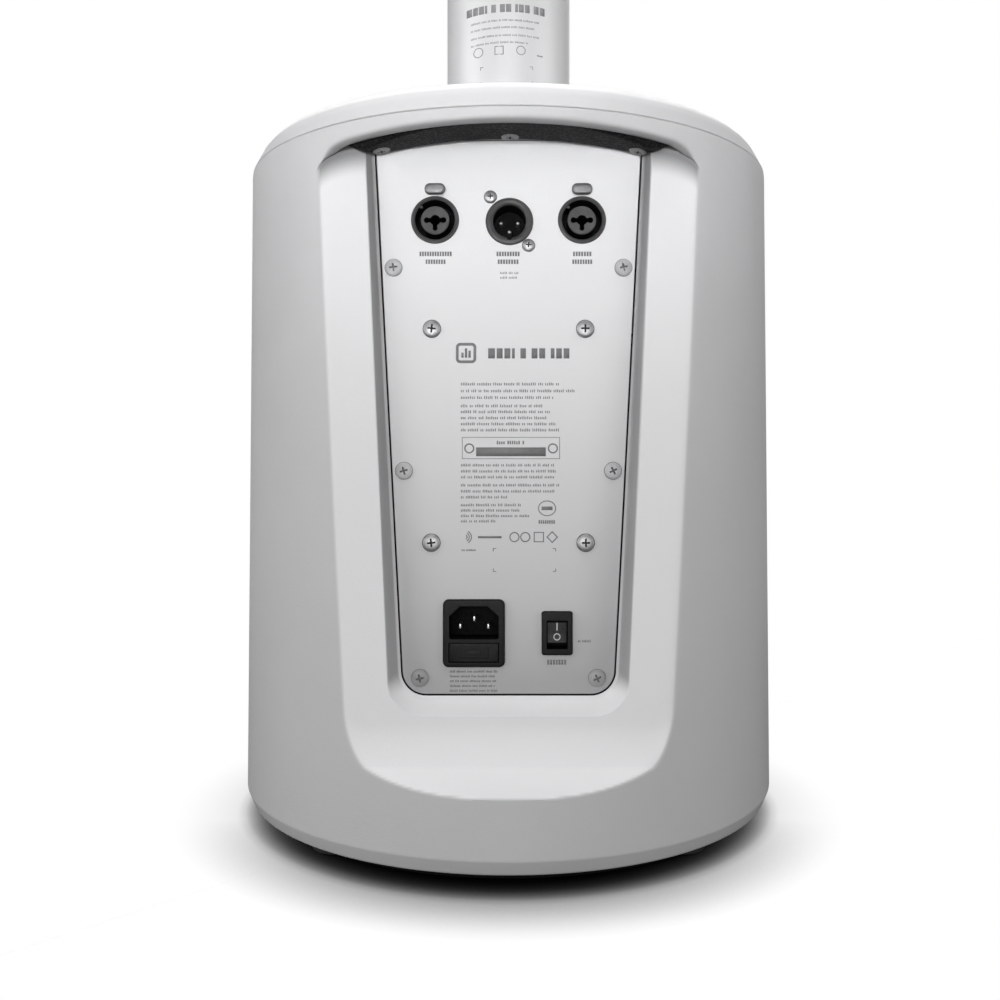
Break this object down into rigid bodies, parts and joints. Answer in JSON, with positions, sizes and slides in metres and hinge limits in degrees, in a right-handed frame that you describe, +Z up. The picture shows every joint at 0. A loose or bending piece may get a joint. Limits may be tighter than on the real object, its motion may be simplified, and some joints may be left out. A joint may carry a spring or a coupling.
{
  "type": "column pa system",
  "caption": "Portable column loudspeaker: round bass cabinet with rear connector panel, plug-in battery column and speaker column above it.",
  "frame": {"origin": "on the floor, on the axis that the cabinet and both columns share", "axes": "+Z up along the columns, -Y out of the connector panel at the rear, +Y out of the grilles"},
  "size_m": [0.3188, 0.3188, 1.945],
  "materials": {
    "shell": "fine texture",
    "panel": "fine powder coat",
    "black_plastic": "satin",
    "rubber": "matte",
    "grille": "perforated, powder coat",
    "nickel": "satin nickel",
    "aluminium": "extruded",
    "board": "solder mask",
    "wood": "raw fibreboard",
    "cone": "pressed paper",
    "magnet": "dark coated",
    "cell": "shrink sleeve"
  },
  "bodies": {
    "cabinet": {"amplifier_board": "board", "baffle": "wood", "base_plinth": "black_plastic", "body_shell": "shell", "column_socket": "black_plastic", "front_grille": "grille", "grip_insert": "black_plastic", "heatsink": "aluminium", "heatsink_screw_1": "nickel", "heatsink_screw_2": "nickel", "heatsink_screw_3": "nickel", "heatsink_screw_4": "nickel", "input_jack_left": "black_plastic", "input_jack_right": "black_plastic", "mains_contacts": "nickel", "mains_inlet": "black_plastic", "output_pins": "nickel", "output_screw_1": "nickel", "output_screw_2": "nickel", "output_socket": "black_plastic", "panel_screw_1": "panel", "panel_screw_2": "panel", "panel_screw_3": "panel", "panel_screw_4": "panel", "panel_screw_5": "panel", "panel_screw_6": "panel", "port_tube": "black_plastic", "power_supply": "board", "rear_panel": "panel", "rocker_bezel": "black_plastic", "rubber_foot_1": "rubber", "rubber_foot_2": "rubber", "rubber_foot_3": "rubber", "rubber_foot_4": "rubber", "socket_connector": "black_plastic", "top_cap": "shell", "woofer_frame": "magnet", "woofer_magnet": "magnet", "woofer_surround": "rubber"},
    "power_rocker": {"power_rocker": "black_plastic"},
    "fuse_drawer": {"fuse_drawer": "black_plastic"},
    "release_tab_left": {"release_tab_left": "nickel"},
    "release_tab_right": {"release_tab_right": "nickel"},
    "woofer_cone": {"woofer_cone": "cone"},
    "battery_column": {"battery_tube": "shell", "battery_end_plug": "black_plastic", "battery_pack": "cell", "column_coupler": "black_plastic"},
    "speaker_column": {"speaker_tube": "shell", "speaker_grille": "grille", "column_end_cap": "black_plastic", "driver_frame_1": "magnet", "driver_frame_2": "magnet", "driver_frame_3": "magnet", "driver_frame_4": "magnet"},
    "driver_cone_1": {"driver_cone_1": "cone"},
    "driver_cone_2": {"driver_cone_2": "cone"},
    "driver_cone_3": {"driver_cone_3": "cone"},
    "driver_cone_4": {"driver_cone_4": "cone"}
  },
  "joints": [
    {"name": "rocker_tilt", "type": "hinge", "parent": "cabinet", "child": "power_rocker", "pos_m": [0.0246, -0.12189, 0.12033], "axis": [-1, 0, 0], "range_deg": [0, 16]},
    {"name": "fuse_drawer_slide", "type": "slide", "parent": "cabinet", "child": "fuse_drawer", "axis": [0, -0.9995, 0.0321], "range_m": [0, 0.018]},
    {"name": "release_left_press", "type": "slide", "parent": "cabinet", "child": "release_tab_left", "axis": [0, 0.9995, -0.0321], "range_m": [0, 0.0012], "stiffness_N_per_m": 800},
    {"name": "release_right_press", "type": "slide", "parent": "cabinet", "child": "release_tab_right", "axis": [0, 0.9995, -0.0321], "range_m": [0, 0.0012], "stiffness_N_per_m": 800},
    {"name": "woofer_travel", "type": "slide", "parent": "cabinet", "child": "woofer_cone", "axis": [0, 1, 0], "range_m": [-0.005, 0.005], "stiffness_N_per_m": 4000},
    {"name": "battery_column_lift", "type": "slide", "parent": "cabinet", "child": "battery_column", "axis": [0, 0, 1], "range_m": [0, 0.075]},
    {"name": "speaker_column_lift", "type": "slide", "parent": "battery_column", "child": "speaker_column", "axis": [0, 0, 1], "range_m": [0, 0.075]},
    {"name": "driver_1_travel", "type": "slide", "parent": "speaker_column", "child": "driver_cone_1", "axis": [0, 1, 0], "range_m": [-0.001, 0.001], "stiffness_N_per_m": 2000},
    {"name": "driver_2_travel", "type": "slide", "parent": "speaker_column", "child": "driver_cone_2", "axis": [0, 1, 0], "range_m": [-0.001, 0.001], "stiffness_N_per_m": 2000},
    {"name": "driver_3_travel", "type": "slide", "parent": "speaker_column", "child": "driver_cone_3", "axis": [0, 1, 0], "range_m": [-0.001, 0.001], "stiffness_N_per_m": 2000},
    {"name": "driver_4_travel", "type": "slide", "parent": "speaker_column", "child": "driver_cone_4", "axis": [0, 1, 0], "range_m": [-0.001, 0.001], "stiffness_N_per_m": 2000}
  ]
}
